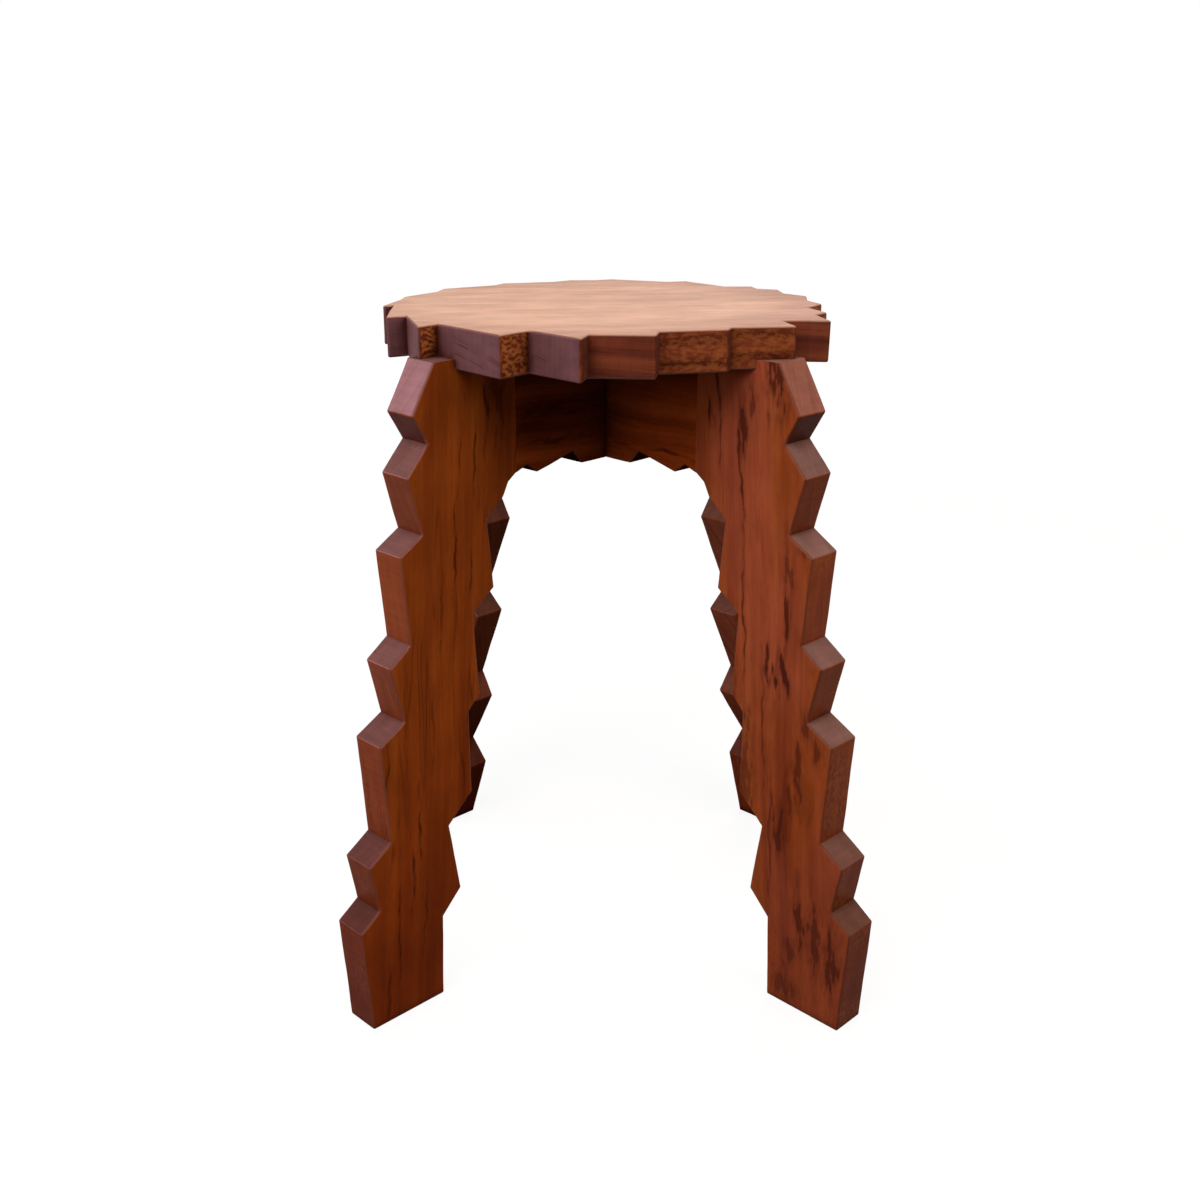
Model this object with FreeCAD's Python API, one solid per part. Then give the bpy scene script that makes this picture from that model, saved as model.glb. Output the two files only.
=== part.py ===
import FreeCAD
import Part

import math
import os

# Zigzag stool: a saw-toothed round seat on two crossed plank frames.
# Millimetres, +Z up. The origin is on the floor, on the stool's upright axis.
# The frames stand at 45 degrees to X and Y, and -Y is the front.
# Names that end in share or shares are parts of the size named beside them.

# Whole stool
total_height = 450.0
seat_thickness = 25.5
plank_thickness = 26.0
housing_depth = 6.0

# Seat
seat_radius = 150.0
seat_edge_round = 1.3

# Legs: each is sawn between two straight lines that lean outwards. The outer line's top
# stands out past the seat's radius, and leg_width is the level distance between the lines.
leg_stand_out = 18.2
leg_splay_degrees = 10.3
leg_width = 81.8
leg_notch_depth = 17.0
leg_edge_round = 1.5

# Rails: the two boards that cross under the seat. Each ends inside its legs' inner lines,
# by the inset, as measured at the rail's underside.
rail_end_inset = 7.5
rail_depth = 80.5
rail_notch_depth = 9.0
rail_edge_round = 1.0

# Dowels that pin a rail to a leg
joint_dowel_radius = 5.0
joint_dowel_length = 48.0
upper_dowel_drop = 17.0
dowel_spacing = 36.0

# Dowels that pin the frames to the seat
seat_dowel_radius = 4.0
seat_dowel_length = 30.0
seat_dowel_bite = 11.0

# Wood left between the end of a joint dowel and the side of a seat dowel
dowel_wall = 5.5

# Clearances
housing_clearance = 0.1
lap_clearance = 0.1
dowel_clearance = 0.05
dowel_end_clearance = 0.5

# How far a cutting shape runs past the wood
overrun = 10.0

# Points closer than this are the same point
match_distance = 0.001

# Bearings of the four legs, anticlockwise from +X
front_left_degrees = 225.0
front_right_degrees = 315.0
back_right_degrees = 45.0
back_left_degrees = 135.0
leg_bearings = (front_left_degrees, front_right_degrees, back_right_degrees, back_left_degrees)

# Seat teeth, anticlockwise from the left. Each row holds the bearing and reach of a tip,
# then those of the notch after it. Bearings are in degrees, reaches are shares of seat_radius.
seat_tooth_shares = [
    (184.0, 0.993, 182.0, 0.945),
    (205.3, 1.012, 204.7, 0.922),
    (224.2, 1.038, 223.0, 0.927),
    (247.1, 1.037, 249.7, 0.874),
    (264.8, 1.048, 265.8, 0.930),
    (281.3, 0.968, 283.7, 0.868),
    (301.2, 0.921, 304.0, 0.883),
    (317.2, 1.030, 324.0, 0.889),
    (329.5, 1.064, 339.0, 0.943),
    (343.9, 0.977, 353.4, 0.886),
    (361.5, 0.963, 369.5, 0.930),
    (379.0, 0.990, 387.0, 0.950),
    (395.0, 1.022, 400.5, 0.975),
    (405.3, 1.029, 411.0, 0.937),
    (427.3, 1.056, 431.8, 0.995),
    (448.5, 1.065, 453.5, 1.022),
    (460.5, 1.035, 466.3, 0.978),
    (481.2, 1.012, 486.2, 0.958),
    (502.4, 1.008, 509.0, 0.952),
    (523.7, 0.980, 529.4, 0.960),
]

# Outer edges of the legs, from the top down. Each row holds a height, as a share of leg_top,
# and how far the saw cuts in from the straight line, as a share of leg_notch_depth.
front_outer_shares = [
    (1.000, 0.69),
    (0.931, 0.00),
    (0.889, 0.80),
    (0.846, 0.02),
    (0.761, 0.99),
    (0.736, 0.07),
    (0.603, 0.95),
    (0.576, 0.12),
    (0.487, 1.04),
    (0.462, 0.00),
    (0.304, 0.98),
    (0.277, 0.06),
    (0.198, 0.78),
    (0.174, 0.00),
    (0.000, 1.09),
]
# The back legs' teeth point the other way, so that a frame's teeth run on round it.
back_outer_shares = [
    (1.000, 0.85),
    (0.871, 0.04),
    (0.845, 0.86),
    (0.742, 0.02),
    (0.712, 0.98),
    (0.560, 0.06),
    (0.532, 1.00),
    (0.430, 0.00),
    (0.400, 0.92),
    (0.262, 0.08),
    (0.236, 0.96),
    (0.112, 0.28),
    (0.086, 0.86),
    (0.000, 0.80),
]

# Inner edges of the legs, from the rail down. Each row holds a height, as a share of
# rail_bottom, and how far the saw cuts in, as a share of leg_notch_depth.
front_inner_shares = [
    (0.995, -0.06),
    (0.970, 0.11),
    (0.936, 0.81),
    (0.803, 0.05),
    (0.764, 0.96),
    (0.603, 0.16),
    (0.574, 0.63),
    (0.410, 0.00),
    (0.357, 0.99),
    (0.215, 0.00),
    (0.170, 0.76),
    (0.000, 0.28),
]
back_left_inner_shares = [
    (1.000, 0.21),
    (0.980, 0.00),
    (0.849, 1.14),
    (0.788, 0.17),
    (0.606, 1.20),
    (0.565, 0.07),
    (0.392, 0.97),
    (0.338, 0.09),
    (0.205, 1.18),
    (0.156, 0.05),
    (0.000, 0.63),
]
back_right_inner_shares = [
    (1.000, 0.21),
    (0.980, 0.00),
    (0.849, 1.10),
    (0.793, 0.10),
    (0.609, 1.24),
    (0.568, 0.09),
    (0.405, 1.14),
    (0.352, 0.16),
    (0.224, 1.55),
    (0.175, 0.43),
    (0.000, 0.80),
]

# Undersides of the rails, from the middle outwards. Each row holds a reach, as a share of
# rail_reach, and how far the saw cuts up, as a share of rail_notch_depth.
rail_front_shares = [
    (0.378, 0.00),
    (0.465, 1.00),
    (0.807, 0.08),
    (0.902, 0.74),
    (1.000, 0.36),
]
rail_back_shares = [
    (0.250, 0.00),
    (0.600, 0.96),
    (0.690, 0.06),
    (1.000, 0.80),
]

# Heights that follow from the sizes above
seat_bottom = total_height - seat_thickness
leg_top = seat_bottom + housing_depth
rail_bottom = leg_top - rail_depth
lap_height = leg_top - rail_depth / 2
upper_dowel_height = leg_top - upper_dowel_drop
lower_dowel_height = upper_dowel_height - dowel_spacing
seat_dowel_top = leg_top + seat_dowel_bite


def outer_line(height):
    """Reach of a leg's straight outer line at a height."""
    lean = math.tan(math.radians(leg_splay_degrees))
    return seat_radius + leg_stand_out + (leg_top - height) * lean


def inner_line(height):
    """Reach of a leg's straight inner line at a height."""
    return outer_line(height) - leg_width


# Reaches that follow: the joint between a rail and a leg, and the seat dowels beside it
rail_reach = inner_line(rail_bottom) - rail_end_inset
seat_dowel_offset = joint_dowel_length / 2 + dowel_wall + seat_dowel_radius
leg_dowel_reach = rail_reach + seat_dowel_offset
rail_dowel_reach = rail_reach - seat_dowel_offset


def turned(shape, bearing):
    """The shape turned about the upright axis, from +X to a bearing."""
    copy = shape.copy()
    copy.rotate(FreeCAD.Vector(0, 0, 0), FreeCAD.Vector(0, 0, 1), bearing)
    return copy


def standing_out(outline, normal):
    """The corners of an outline that stand out, without the notches between them."""
    before = outline[-1:] + outline[:-1]
    after = outline[1:] + outline[:1]
    sense = sum(first.cross(second).dot(normal) for first, second in zip(before, outline))
    corners = []
    for last, here, following in zip(before, outline, after):
        turn = (here - last).cross(following - here).dot(normal)
        if turn * sense > 0:
            corners.append(here)
    return corners


def eased_board(outline, thickness, normal, edge_round, keep):
    """A board centred on its outline's plane, with the edges that pass a test rounded over."""
    face = Part.Face(Part.makePolygon(outline + outline[:1]))
    face.translate(normal * (-thickness / 2))
    blank = face.extrude(normal * thickness)
    tips = standing_out(outline, normal)
    rim = []
    for edge in blank.Edges:
        middle = edge.CenterOfMass
        on_a_face = abs((middle - outline[0]).dot(normal)) > match_distance
        at_a_tip = min((middle - tip).Length for tip in tips) < match_distance
        if keep(middle) and (on_a_face or at_a_tip):
            rim.append(edge)
    return blank.makeFillet(edge_round, rim)


def stays_free(point):
    """True where a plank's edge meets neither the seat nor another plank."""
    below_the_seat = point.z < leg_top - match_distance
    off_the_joint = abs(abs(point.x) - rail_reach) > match_distance
    return below_the_seat and off_the_joint


def upright_plank(profile, edge_round):
    """A plank in the XZ plane, centred on Y, from points of reach and height."""
    outline = [FreeCAD.Vector(reach, 0, height) for reach, height in profile]
    across = FreeCAD.Vector(0, 1, 0)
    return eased_board(outline, plank_thickness, across, edge_round, stays_free)


def upright_hole(radius, reach, low, high):
    """A round bar that stands at a reach on +X."""
    start = FreeCAD.Vector(reach, 0, low)
    return Part.makeCylinder(radius, high - low, start, FreeCAD.Vector(0, 0, 1))


def level_hole(radius, near, far, height):
    """A round bar that lies along +X."""
    start = FreeCAD.Vector(near, 0, height)
    return Part.makeCylinder(radius, far - near, start, FreeCAD.Vector(1, 0, 0))


def joint_dowel_bars(radius, half_length):
    """The bars of both dowels across one joint between a rail and a leg."""
    heights = (upper_dowel_height, lower_dowel_height)
    return [
        level_hole(radius, rail_reach - half_length, rail_reach + half_length, height)
        for height in heights
    ]


def joint_dowel_holes():
    """What the joint dowels take out of a rail and a leg."""
    half_length = joint_dowel_length / 2 + dowel_end_clearance
    return joint_dowel_bars(joint_dowel_radius + dowel_clearance, half_length)


def joint_dowels():
    """Both dowels across one joint between a rail and a leg."""
    return Part.makeCompound(joint_dowel_bars(joint_dowel_radius, joint_dowel_length / 2))


def seat_dowel_bars(radius, extra):
    """The bars of both dowels that pin one arm of a frame to the seat."""
    low = seat_dowel_top - seat_dowel_length - extra
    high = seat_dowel_top + extra
    return [upright_hole(radius, reach, low, high) for reach in (leg_dowel_reach, rail_dowel_reach)]


def seat_dowel_holes():
    """What the seat dowels take out of the wood at one arm."""
    return seat_dowel_bars(seat_dowel_radius + dowel_clearance, dowel_end_clearance)


def seat_dowels():
    """Both dowels that pin one arm of a frame to the seat."""
    return Part.makeCompound(seat_dowel_bars(seat_dowel_radius, 0))


def leg_profile(outer_shares, inner_shares, rail_end_share):
    """A leg's outline: down its outer edge, then up its inner edge to the rail."""
    outer = [
        (outer_line(share * leg_top) - cut * leg_notch_depth, share * leg_top)
        for share, cut in outer_shares
    ]
    inner = [
        (inner_line(share * rail_bottom) + cut * leg_notch_depth, share * rail_bottom)
        for share, cut in inner_shares
    ]
    rail_end = rail_bottom + rail_end_share * rail_notch_depth
    return outer + inner[::-1] + [(rail_reach, rail_end), (rail_reach, leg_top)]


def leg(outer_shares, inner_shares, rail_end_share):
    """A leg on the +X side, with its dowel holes."""
    profile = leg_profile(outer_shares, inner_shares, rail_end_share)
    solid = upright_plank(profile, leg_edge_round)
    return solid.cut(joint_dowel_holes() + seat_dowel_holes())


def rail_profile():
    """A rail's outline, with the front leg on the +X side."""
    front = [
        (share * rail_reach, rail_bottom + cut * rail_notch_depth)
        for share, cut in rail_front_shares
    ]
    back = [
        (-share * rail_reach, rail_bottom + cut * rail_notch_depth)
        for share, cut in rail_back_shares
    ]
    return [(rail_reach, leg_top), (-rail_reach, leg_top)] + back[::-1] + front


def rail(slot_low, slot_high):
    """A rail along X, with its half of the cross lap and its dowel holes."""
    half_slot = plank_thickness / 2 + lap_clearance
    slot = Part.makeBox(
        2 * half_slot,
        plank_thickness + 2 * overrun,
        slot_high - slot_low,
        FreeCAD.Vector(-half_slot, -plank_thickness / 2 - overrun, slot_low),
    )
    front_holes = joint_dowel_holes() + seat_dowel_holes()
    back_holes = [turned(hole, 180) for hole in front_holes]
    return upright_plank(rail_profile(), rail_edge_round).cut([slot] + front_holes + back_holes)


def seat_outline():
    """The seat's saw-toothed rim, halfway up its edge."""
    height = total_height - seat_thickness / 2
    points = []
    for tip_bearing, tip_share, notch_bearing, notch_share in seat_tooth_shares:
        for bearing, share in ((tip_bearing, tip_share), (notch_bearing, notch_share)):
            angle = math.radians(bearing)
            reach = share * seat_radius
            points.append(FreeCAD.Vector(reach * math.cos(angle), reach * math.sin(angle), height))
    return points


def housing(bearing):
    """The groove across the seat's underside that takes the top of one frame."""
    half_width = plank_thickness / 2 + housing_clearance
    groove = Part.makeBox(
        4 * seat_radius,
        2 * half_width,
        housing_depth + overrun,
        FreeCAD.Vector(-2 * seat_radius, -half_width, seat_bottom - overrun),
    )
    return turned(groove, bearing)


def seat():
    """The seat board, with crossed housings and blind dowel holes in its underside."""
    up = FreeCAD.Vector(0, 0, 1)
    blank = eased_board(seat_outline(), seat_thickness, up, seat_edge_round, lambda point: True)
    cuts = [housing(front_left_degrees), housing(front_right_degrees)]
    for bearing in leg_bearings:
        cuts += [turned(hole, bearing) for hole in seat_dowel_holes()]
    return blank.cut(cuts)


def save(shape, name):
    """Writes one node and prints what it holds."""
    solids = len(shape.Solids)
    print(name, "solids", solids, "valid", shape.isValid(), "volume", round(shape.Volume))
    shape.exportStep("parts/" + name + ".step")


os.makedirs("parts", exist_ok=True)

front_rail_end_share = rail_front_shares[-1][1]
back_rail_end_share = rail_back_shares[-1][1]
front_leg = leg(front_outer_shares, front_inner_shares, front_rail_end_share)
back_left_leg = leg(back_outer_shares, back_left_inner_shares, back_rail_end_share)
back_right_leg = leg(back_outer_shares, back_right_inner_shares, back_rail_end_share)
rail_slotted_above = rail(lap_height - lap_clearance / 2, leg_top + overrun)
rail_slotted_below = rail(rail_bottom - overrun, lap_height + lap_clearance / 2)

arms = {
    "front_left": (front_left_degrees, front_leg),
    "front_right": (front_right_degrees, front_leg),
    "back_left": (back_left_degrees, back_left_leg),
    "back_right": (back_right_degrees, back_right_leg),
}
save(seat(), "seat")
save(turned(rail_slotted_above, front_left_degrees), "lower_cross_rail")
save(turned(rail_slotted_below, front_right_degrees), "upper_cross_rail")
for arm, (bearing, leg_shape) in arms.items():
    save(turned(leg_shape, bearing), "leg_" + arm)
    save(turned(joint_dowels(), bearing), "rail_dowels_" + arm)
    save(turned(seat_dowels(), bearing), "seat_dowels_" + arm)
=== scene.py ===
import math

import bmesh
import bpy
from mathutils import Matrix, Vector, noise


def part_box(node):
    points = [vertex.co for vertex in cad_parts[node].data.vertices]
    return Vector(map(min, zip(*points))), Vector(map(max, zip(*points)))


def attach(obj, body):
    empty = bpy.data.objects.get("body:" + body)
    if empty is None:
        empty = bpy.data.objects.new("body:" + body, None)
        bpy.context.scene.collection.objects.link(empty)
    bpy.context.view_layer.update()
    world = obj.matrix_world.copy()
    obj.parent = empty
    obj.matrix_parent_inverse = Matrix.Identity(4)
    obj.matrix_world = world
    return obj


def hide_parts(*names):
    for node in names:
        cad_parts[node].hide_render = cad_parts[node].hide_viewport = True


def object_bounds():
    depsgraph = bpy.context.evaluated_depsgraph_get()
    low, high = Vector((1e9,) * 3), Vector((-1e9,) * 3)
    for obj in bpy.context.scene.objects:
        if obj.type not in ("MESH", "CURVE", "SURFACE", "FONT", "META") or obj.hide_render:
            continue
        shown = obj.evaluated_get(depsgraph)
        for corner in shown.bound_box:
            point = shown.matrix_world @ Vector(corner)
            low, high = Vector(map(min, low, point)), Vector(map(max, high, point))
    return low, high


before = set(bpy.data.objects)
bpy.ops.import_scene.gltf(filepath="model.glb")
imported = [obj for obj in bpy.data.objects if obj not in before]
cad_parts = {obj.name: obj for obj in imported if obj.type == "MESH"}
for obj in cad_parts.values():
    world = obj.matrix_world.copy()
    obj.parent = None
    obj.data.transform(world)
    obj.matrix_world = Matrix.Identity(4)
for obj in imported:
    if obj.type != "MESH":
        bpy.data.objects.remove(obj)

# Zigzag stool: the looks. Metres, +Z up, -Y is the front, and the origin is on the floor.
# Inside a wood's own coordinates, lengths are in millimetres.

cad_low, cad_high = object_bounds()
millimetres = 1000.0

# Hand-cut rims, in metres: the seed that fixes the saw's wandering, how far it went and over what
# length, and how near the floor and the top its rise and fall fade out
saw_seed = 7
wide_wander = 0.00042
wide_wander_length = 0.031
small_wander = 0.00016
small_wander_length = 0.011
steady_height = 0.012

# Their meshes: the longest side, the least area and the widest angle of a flat region, and how
# nearly a flat has to face as its rounding does to share its shading
weld_distance = 1e-6
longest_side = 0.008
halvings = 6
smallest_flat = 6e-6
flat_angle = math.radians(0.5)
same_turn = math.cos(math.radians(40.0))
flat_region_name = "flat_region"

# How far the grain of the legs leans out from upright, and the seat's turns from left-right
grain_lean = math.radians(3.5)
seat_grain_turn = math.radians(8.0)

# The height of one dark row of the net on sawn edges, in millimetres
net_row = 3.3

# Where the seat's top darkens towards its handled rim: the middle, and the reach in metres
handled_middle = (-0.015, 0.010, 0.0)
handled_reach = (0.100, 0.162)

upright = Vector((0, 0, 1))
bearings = {"front_left": 225.0, "front_right": 315.0, "back_left": 135.0, "back_right": 45.0}


# Boards


def arm_direction(bearing):
    """The level direction from the upright axis towards a bearing in degrees."""
    angle = math.radians(bearing)
    return Vector((math.cos(angle), math.sin(angle), 0))


def centre_of(node):
    """The middle of a CAD node's box."""
    low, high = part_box(node)
    return (low + high) / 2


def wander(point):
    """How far the saw strayed at a point. Only its parts in the board's plane are used."""
    wide = noise.noise_vector(point / wide_wander_length)
    small = noise.noise_vector(point / small_wander_length)
    return wide * wide_wander + small * small_wander


def split_long_sides(shape):
    """Cuts each triangle at the middle of every side that is too long."""
    middles = {}
    for edge in shape.edges:
        if edge.calc_length() > longest_side:
            first, second = edge.verts
            middles[edge] = shape.verts.new((first.co + second.co) / 2)
    for face in [face for face in shape.faces if any(edge in middles for edge in face.edges)]:
        region = face[flat_region(shape)]
        corners = [loop.vert for loop in face.loops]
        cuts = [middles.get(loop.edge) for loop in face.loops]
        while cuts[0] is None or (cuts[2] is not None and None in cuts):
            corners, cuts = corners[1:] + corners[:1], cuts[1:] + cuts[:1]
        a, b, c = corners
        ab, bc, ca = cuts
        if bc is None:
            pieces = [(a, ab, c), (ab, b, c)]
        elif ca is None:
            pieces = [(ab, b, bc), (a, ab, bc), (a, bc, c)]
        else:
            pieces = [(a, ab, ca), (ab, b, bc), (ca, bc, c), (ab, bc, ca)]
        for piece in pieces:
            shape.faces.new(piece)[flat_region(shape)] = region
        shape.faces.remove(face)
    for edge in middles:
        shape.edges.remove(edge)


def flat_region(shape):
    """Where each face keeps the number of the flat region that it lies in. Zero is a curved one."""
    layers = shape.faces.layers.int
    return layers.get(flat_region_name) or layers.new(flat_region_name)


def number_flat_regions(shape):
    """Numbers the flat faces of the board, each with the triangles that share its plane."""
    layer = flat_region(shape)
    seen = set()
    number = 0
    for start in shape.faces:
        if start in seen:
            continue
        seen.add(start)
        region = [start]
        for face in region:
            for edge in face.edges:
                if len(edge.link_faces) == 2 and edge.calc_face_angle() < flat_angle:
                    beside = [other for other in edge.link_faces if other not in seen]
                    seen.update(beside)
                    region += beside
        if sum(face.calc_area() for face in region) > smallest_flat:
            number += 1
            for face in region:
                face[layer] = number


def corner_normals(shape):
    """A normal for each face corner: flat regions stay flat, and roundings flow into them."""
    layer = flat_region(shape)
    shape.normal_update()
    sums = {}
    for face in shape.faces:
        for vertex in face.verts:
            key = (vertex.index, face[layer])
            sums[key] = sums.get(key, Vector()) + face.normal * face.calc_area()
    flats = {}
    for (index, region), total in sums.items():
        if region:
            flats.setdefault(index, []).append(total.normalized())
    normals = []
    for face in shape.faces:
        for loop in face.loops:
            index = loop.vert.index
            if face[layer]:
                normals.append(sums[index, face[layer]].normalized())
                continue
            near = [flat for flat in flats.get(index, ()) if flat.dot(face.normal) > same_turn]
            if near:
                normals.append(max(near, key=face.normal.dot))
            else:
                normals.append(sums[index, 0].normalized())
    return normals


def hand_cut(node, plane):
    """A copy of a node's mesh whose rims wander as a hand-guided saw leaves them.
    The plane is the two directions that the broad faces lie in, which stay flat."""
    shape = bmesh.new()
    shape.from_mesh(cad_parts[node].data)
    bmesh.ops.remove_doubles(shape, verts=shape.verts, dist=weld_distance)
    bmesh.ops.triangulate(shape, faces=shape.faces)
    number_flat_regions(shape)
    for halving in range(halvings):
        split_long_sides(shape)
    for vertex in shape.verts:
        offset = wander(vertex.co)
        near_floor = (vertex.co.z - cad_low.z) / steady_height
        near_top = (cad_high.z - vertex.co.z) / steady_height
        steady = Vector((1, 1, max(0.0, min(1.0, near_floor, near_top))))
        for direction in plane:
            vertex.co += offset.dot(direction) * direction * steady
    shape.verts.index_update()
    normals = corner_normals(shape)
    mesh = bpy.data.meshes.new(node + "_hand_cut")
    shape.to_mesh(mesh)
    shape.free()
    mesh.polygons.foreach_set("use_smooth", [True] * len(mesh.polygons))
    mesh.normals_split_custom_set(normals)
    return mesh


def dress(node, name, plane, material):
    """Puts a hand-cut board in place of a CAD board."""
    piece = bpy.data.objects.new(name, hand_cut(node, plane))
    bpy.context.scene.collection.objects.link(piece)
    piece.data.materials.append(material)
    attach(piece, "root")
    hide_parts(node)


# Shader building


class Tree:
    """The nodes of a material or world, with short calls that add one and return its output."""

    def __init__(self, owner):
        owner.use_nodes = True
        self.nodes = owner.node_tree.nodes
        self.links = owner.node_tree.links
        self.nodes.clear()

    def add(self, kind, values=(), **settings):
        made = self.nodes.new(kind)
        for name, value in settings.items():
            setattr(made, name, value)
        for socket, value in dict(values).items():
            if isinstance(value, bpy.types.NodeSocket):
                self.links.new(value, made.inputs[socket])
            else:
                made.inputs[socket].default_value = value
        return made

    def shader(self, kind, values):
        """A shader, or a mix of two."""
        return self.add(kind, values).outputs[0]

    def number(self, operation, *values):
        """A sum or function of numbers."""
        made = self.add("ShaderNodeMath", enumerate(values), operation=operation)
        return made.outputs[0]

    def product(self, first, *others):
        """Numbers multiplied together."""
        for other in others:
            first = self.number("MULTIPLY", first, other)
        return first

    def vector(self, operation, *values):
        """A sum or function of vectors."""
        made = self.add("ShaderNodeVectorMath", enumerate(values), operation=operation)
        return made.outputs["Value" if operation in ("DOT_PRODUCT", "LENGTH") else "Vector"]

    def stack(self, x, y, z):
        """A vector from three numbers."""
        return self.add("ShaderNodeCombineXYZ", enumerate((x, y, z))).outputs[0]

    def clouds(self, where, detail, output="Fac"):
        """Soft noise, one cloud to a unit of the coordinates."""
        values = {"Vector": where, "Scale": 1.0, "Detail": detail, "Roughness": noise_roughness}
        return self.add("ShaderNodeTexNoise", values).outputs[output]

    def between(self, value, low, high, at_low=0.0, at_high=1.0):
        """The value eased from at_low to at_high as it goes from low to high."""
        values = {"Value": value, "From Min": low, "From Max": high}
        values.update({"To Min": at_low, "To Max": at_high})
        made = self.add("ShaderNodeMapRange", values, interpolation_type="SMOOTHSTEP")
        return made.outputs["Result"]

    def blend(self, share, first, second, how="MIX"):
        """Two colours mixed. The sockets go by number, because their names repeat."""
        values = {0: share, 6: first, 7: second}
        made = self.add("ShaderNodeMix", values, data_type="RGBA", blend_type=how)
        return made.outputs[2]

    def shaded(self, tint, amount):
        """A colour made lighter or darker by a number."""
        return self.blend(1.0, tint, self.stack(amount, amount, amount), "MULTIPLY")

    def ramp(self, value, stops):
        """A colour that follows a value through (place, colour) stops."""
        made = self.add("ShaderNodeValToRGB", {"Fac": value})
        bar = made.color_ramp.elements
        while len(bar) < len(stops):
            bar.new(0.5)
        for element, (place, tint) in zip(bar, stops):
            element.position = place
            element.color = tint
        return made.outputs["Color"]

    def hollow(self, reach):
        """How open the surroundings are within a reach in metres: low in corners and recesses."""
        made = self.add("ShaderNodeAmbientOcclusion", {"Distance": reach}, samples=hollow_samples)
        return made.outputs["AO"]


def colour(red, green, blue):
    """A colour from linear parts."""
    return (red, green, blue, 1.0)


# All noise: its roughness, and its middle, which drifts swing about and thin streaks follow
noise_roughness = 0.5
noise_middle = 0.5

# The woods' noise. Each row holds the patches to a millimetre across, through and along a board,
# a shift that keeps it apart from the others, its detail, and the noise's range with what its
# low and high ends stand for.
noise_rows = {
    "blotch": ((0.022, 0.022, 0.007), 0.0, 2.0, (0.35, 0.65, 0.0, 1.0)),
    "fibre": ((1.3, 1.3, 0.045), 0.0, 3.0, (0.25, 0.75, -1.0, 1.0)),
    "pore": ((2.1, 2.1, 0.13), 0.0, 1.0, (0.60, 0.72, 0.0, 1.0)),
    "streak": ((0.05, 0.05, 0.014), 23.0, 2.0, (0.42, 0.60, 0.0, 1.0)),
    "mottle": ((0.06, 0.10, 0.03), 31.0, 2.0, (0.30, 0.70, 0.90, 1.08)),
    "ragged": ((0.40, 0.05, 0.09), 41.0, 4.0, (0.25, 0.75, -0.55, 0.55)),
    "bent": ((0.03, 0.03, 0.035), 43.0, 2.0, (0.20, 0.80, -2.5, 2.5)),
    "licked": ((0.30, 0.05, 0.03), 47.0, 3.0, (0.20, 0.80, -9.0, 9.0)),
    "zigzag": ((0.25, 0.04, 0.25), 51.0, 1.0, (0.25, 0.75, -1.1, 1.1)),
    "drift": ((0.07, 0.05, 0.07), 53.0, 1.0, (0.25, 0.75, -1.6, 1.6)),
    "weave": ((0.25, 0.40, 0.25), 57.0, 3.0),
    "net": ((0.02, 0.02, 0.02), 59.0, 1.0),
    "kerf bump": ((0.10, 0.04, 0.9), 61.0, 2.0),
    "kerf": ((0.35, 0.03, 0.35), 63.0, 3.0, (0.30, 0.70, 0.94, 1.06)),
    "top line": ((0.42, 0.42, 0.010), 71.0, 4.0, (0.30, 0.60, 0.91, 1.09)),
}

# How a face lies in its board, from its normal's part through it: a sawn edge has a small part,
# and a rim has a share of both, so that the part times what it lacks of one is large
edge_range = (0.75, 0.99)
rim_range = (0.03, 0.14)

# The ranges of its normal's upward part. Faces that look down get painted shade, and faces that
# look up a bleach that is partly painted sheen
under_range = (-0.50, -0.10)
lifted_from = 0.15
level_range = (0.20, 0.50)
ledge_range = (0.54, 0.62)
top_range = (0.50, 0.90)

# And of its part along the grain, which the far ends and the net of sawn edges follow
far_end_range = (0.80, 0.92)
net_front_range = (0.15, 0.50)
net_wave_range = (0.30, 0.60)
net_end_range = (0.76, 0.90)

# The net: how much its rows show in front and to the side, how much of it is left at the ends,
# and the noise ranges of its light flecks and dark rows
net_wave_shares = (0.025, 0.075)
net_end_share = 0.1
light_range = (0.41, 0.62)
dark_range = (0.30, 0.49)

# Faces left of this reach in metres count as left ends, unless they look upwards
tip_reach = (-0.1245, -0.1225)
tip_lift = (0.05, 0.30)

# A leg darkens downwards between these heights in metres, as painted shade towards the floor
foot_shade_range = (0.0, 0.30)

# Grain: the noise ranges of rings and of bands, the detail of rings and of their drift, how deep
# the fibres are on sawn edges, and how much of the rings' contrast is left on faces that look up
ring_range = (0.30, 0.70)
band_range = (0.35, 0.60)
ring_detail = 3.0
drift_detail = 1.5
edge_fibre_depth = 0.02
calm_share = 0.5

# Marks: the soft haze and the dark core of a placed mark, as reaches of its own size, the haze's
# share of the core's darkness
haze_range = (0.70, 1.80)
haze_share = 0.45
core_range = (0.45, 1.00)

# The bleaching and painted sheen over which streaks fade
faded_range = (0.0, 0.8)

# Painted shade in recesses and crevices: samples, reaches in metres, and how open the ones are that
# get it
hollow_samples = 8
recess_shade_reach = 0.10
recess_shade_range = (0.25, 0.85)
crevice_shade_reach = 0.009
crevice_shade_range = (0.30, 0.95)

# Roughness and relief
fibre_roughness = (0.30, 0.70, -0.05, 0.07)
pore_roughness = 0.15
end_roughness = 0.10
pore_bump = -0.6
kerf_bump = 0.25
bump_strength = 0.35
bump_distance = 0.0003


def patches(tree, place, rates, seed, detail, output="Fac"):
    """Soft noise with its own number of patches to a millimetre across, through and along."""
    u, v, w = place
    across_rate, through_rate, along_rate = rates
    where = tree.stack(
        tree.number("MULTIPLY_ADD", u, across_rate, seed),
        tree.number("MULTIPLY", v, through_rate),
        tree.number("MULTIPLY", w, along_rate),
    )
    return tree.clouds(where, detail, output)


def plain_noise(tree, surface, look, name):
    """The noise of a row as it is."""
    rates, shift, detail = noise_rows[name][:3]
    return patches(tree, surface["place"], rates, look["seed"] + shift, detail)


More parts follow.
